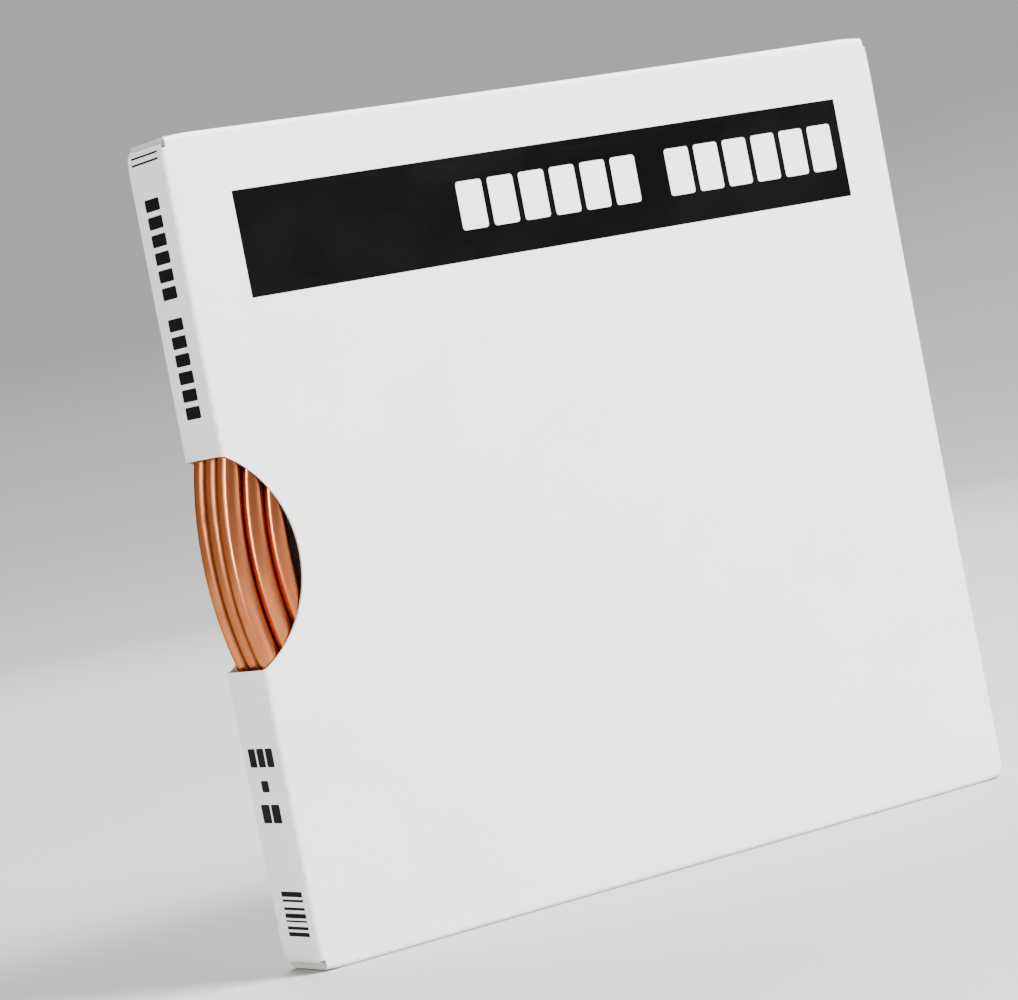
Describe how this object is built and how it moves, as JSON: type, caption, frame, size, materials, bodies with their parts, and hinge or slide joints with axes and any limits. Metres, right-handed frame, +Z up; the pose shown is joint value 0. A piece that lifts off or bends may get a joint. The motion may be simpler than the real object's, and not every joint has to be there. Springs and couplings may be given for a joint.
{
  "type": "boxed copper tube coil",
  "caption": "Coil of soft copper tube in a flat white board carton that stands on end, with a round window cut across its narrow side where the turns show and bulge out.",
  "frame": {"origin": "middle of the carton's base, on the level floor", "axes": "+X from the spine with the window to the far side, +Y from the front panel to the back panel, +Z up"},
  "size_m": [0.2454, 0.0224, 0.229],
  "materials": {
    "white_board": "clay-coated white board, satin",
    "copper": "drawn copper, bright and slightly dulled"
  },
  "bodies": {
    "root": {"carton": "white_board", "tube_coil": "copper"}
  },
  "joints": []
}
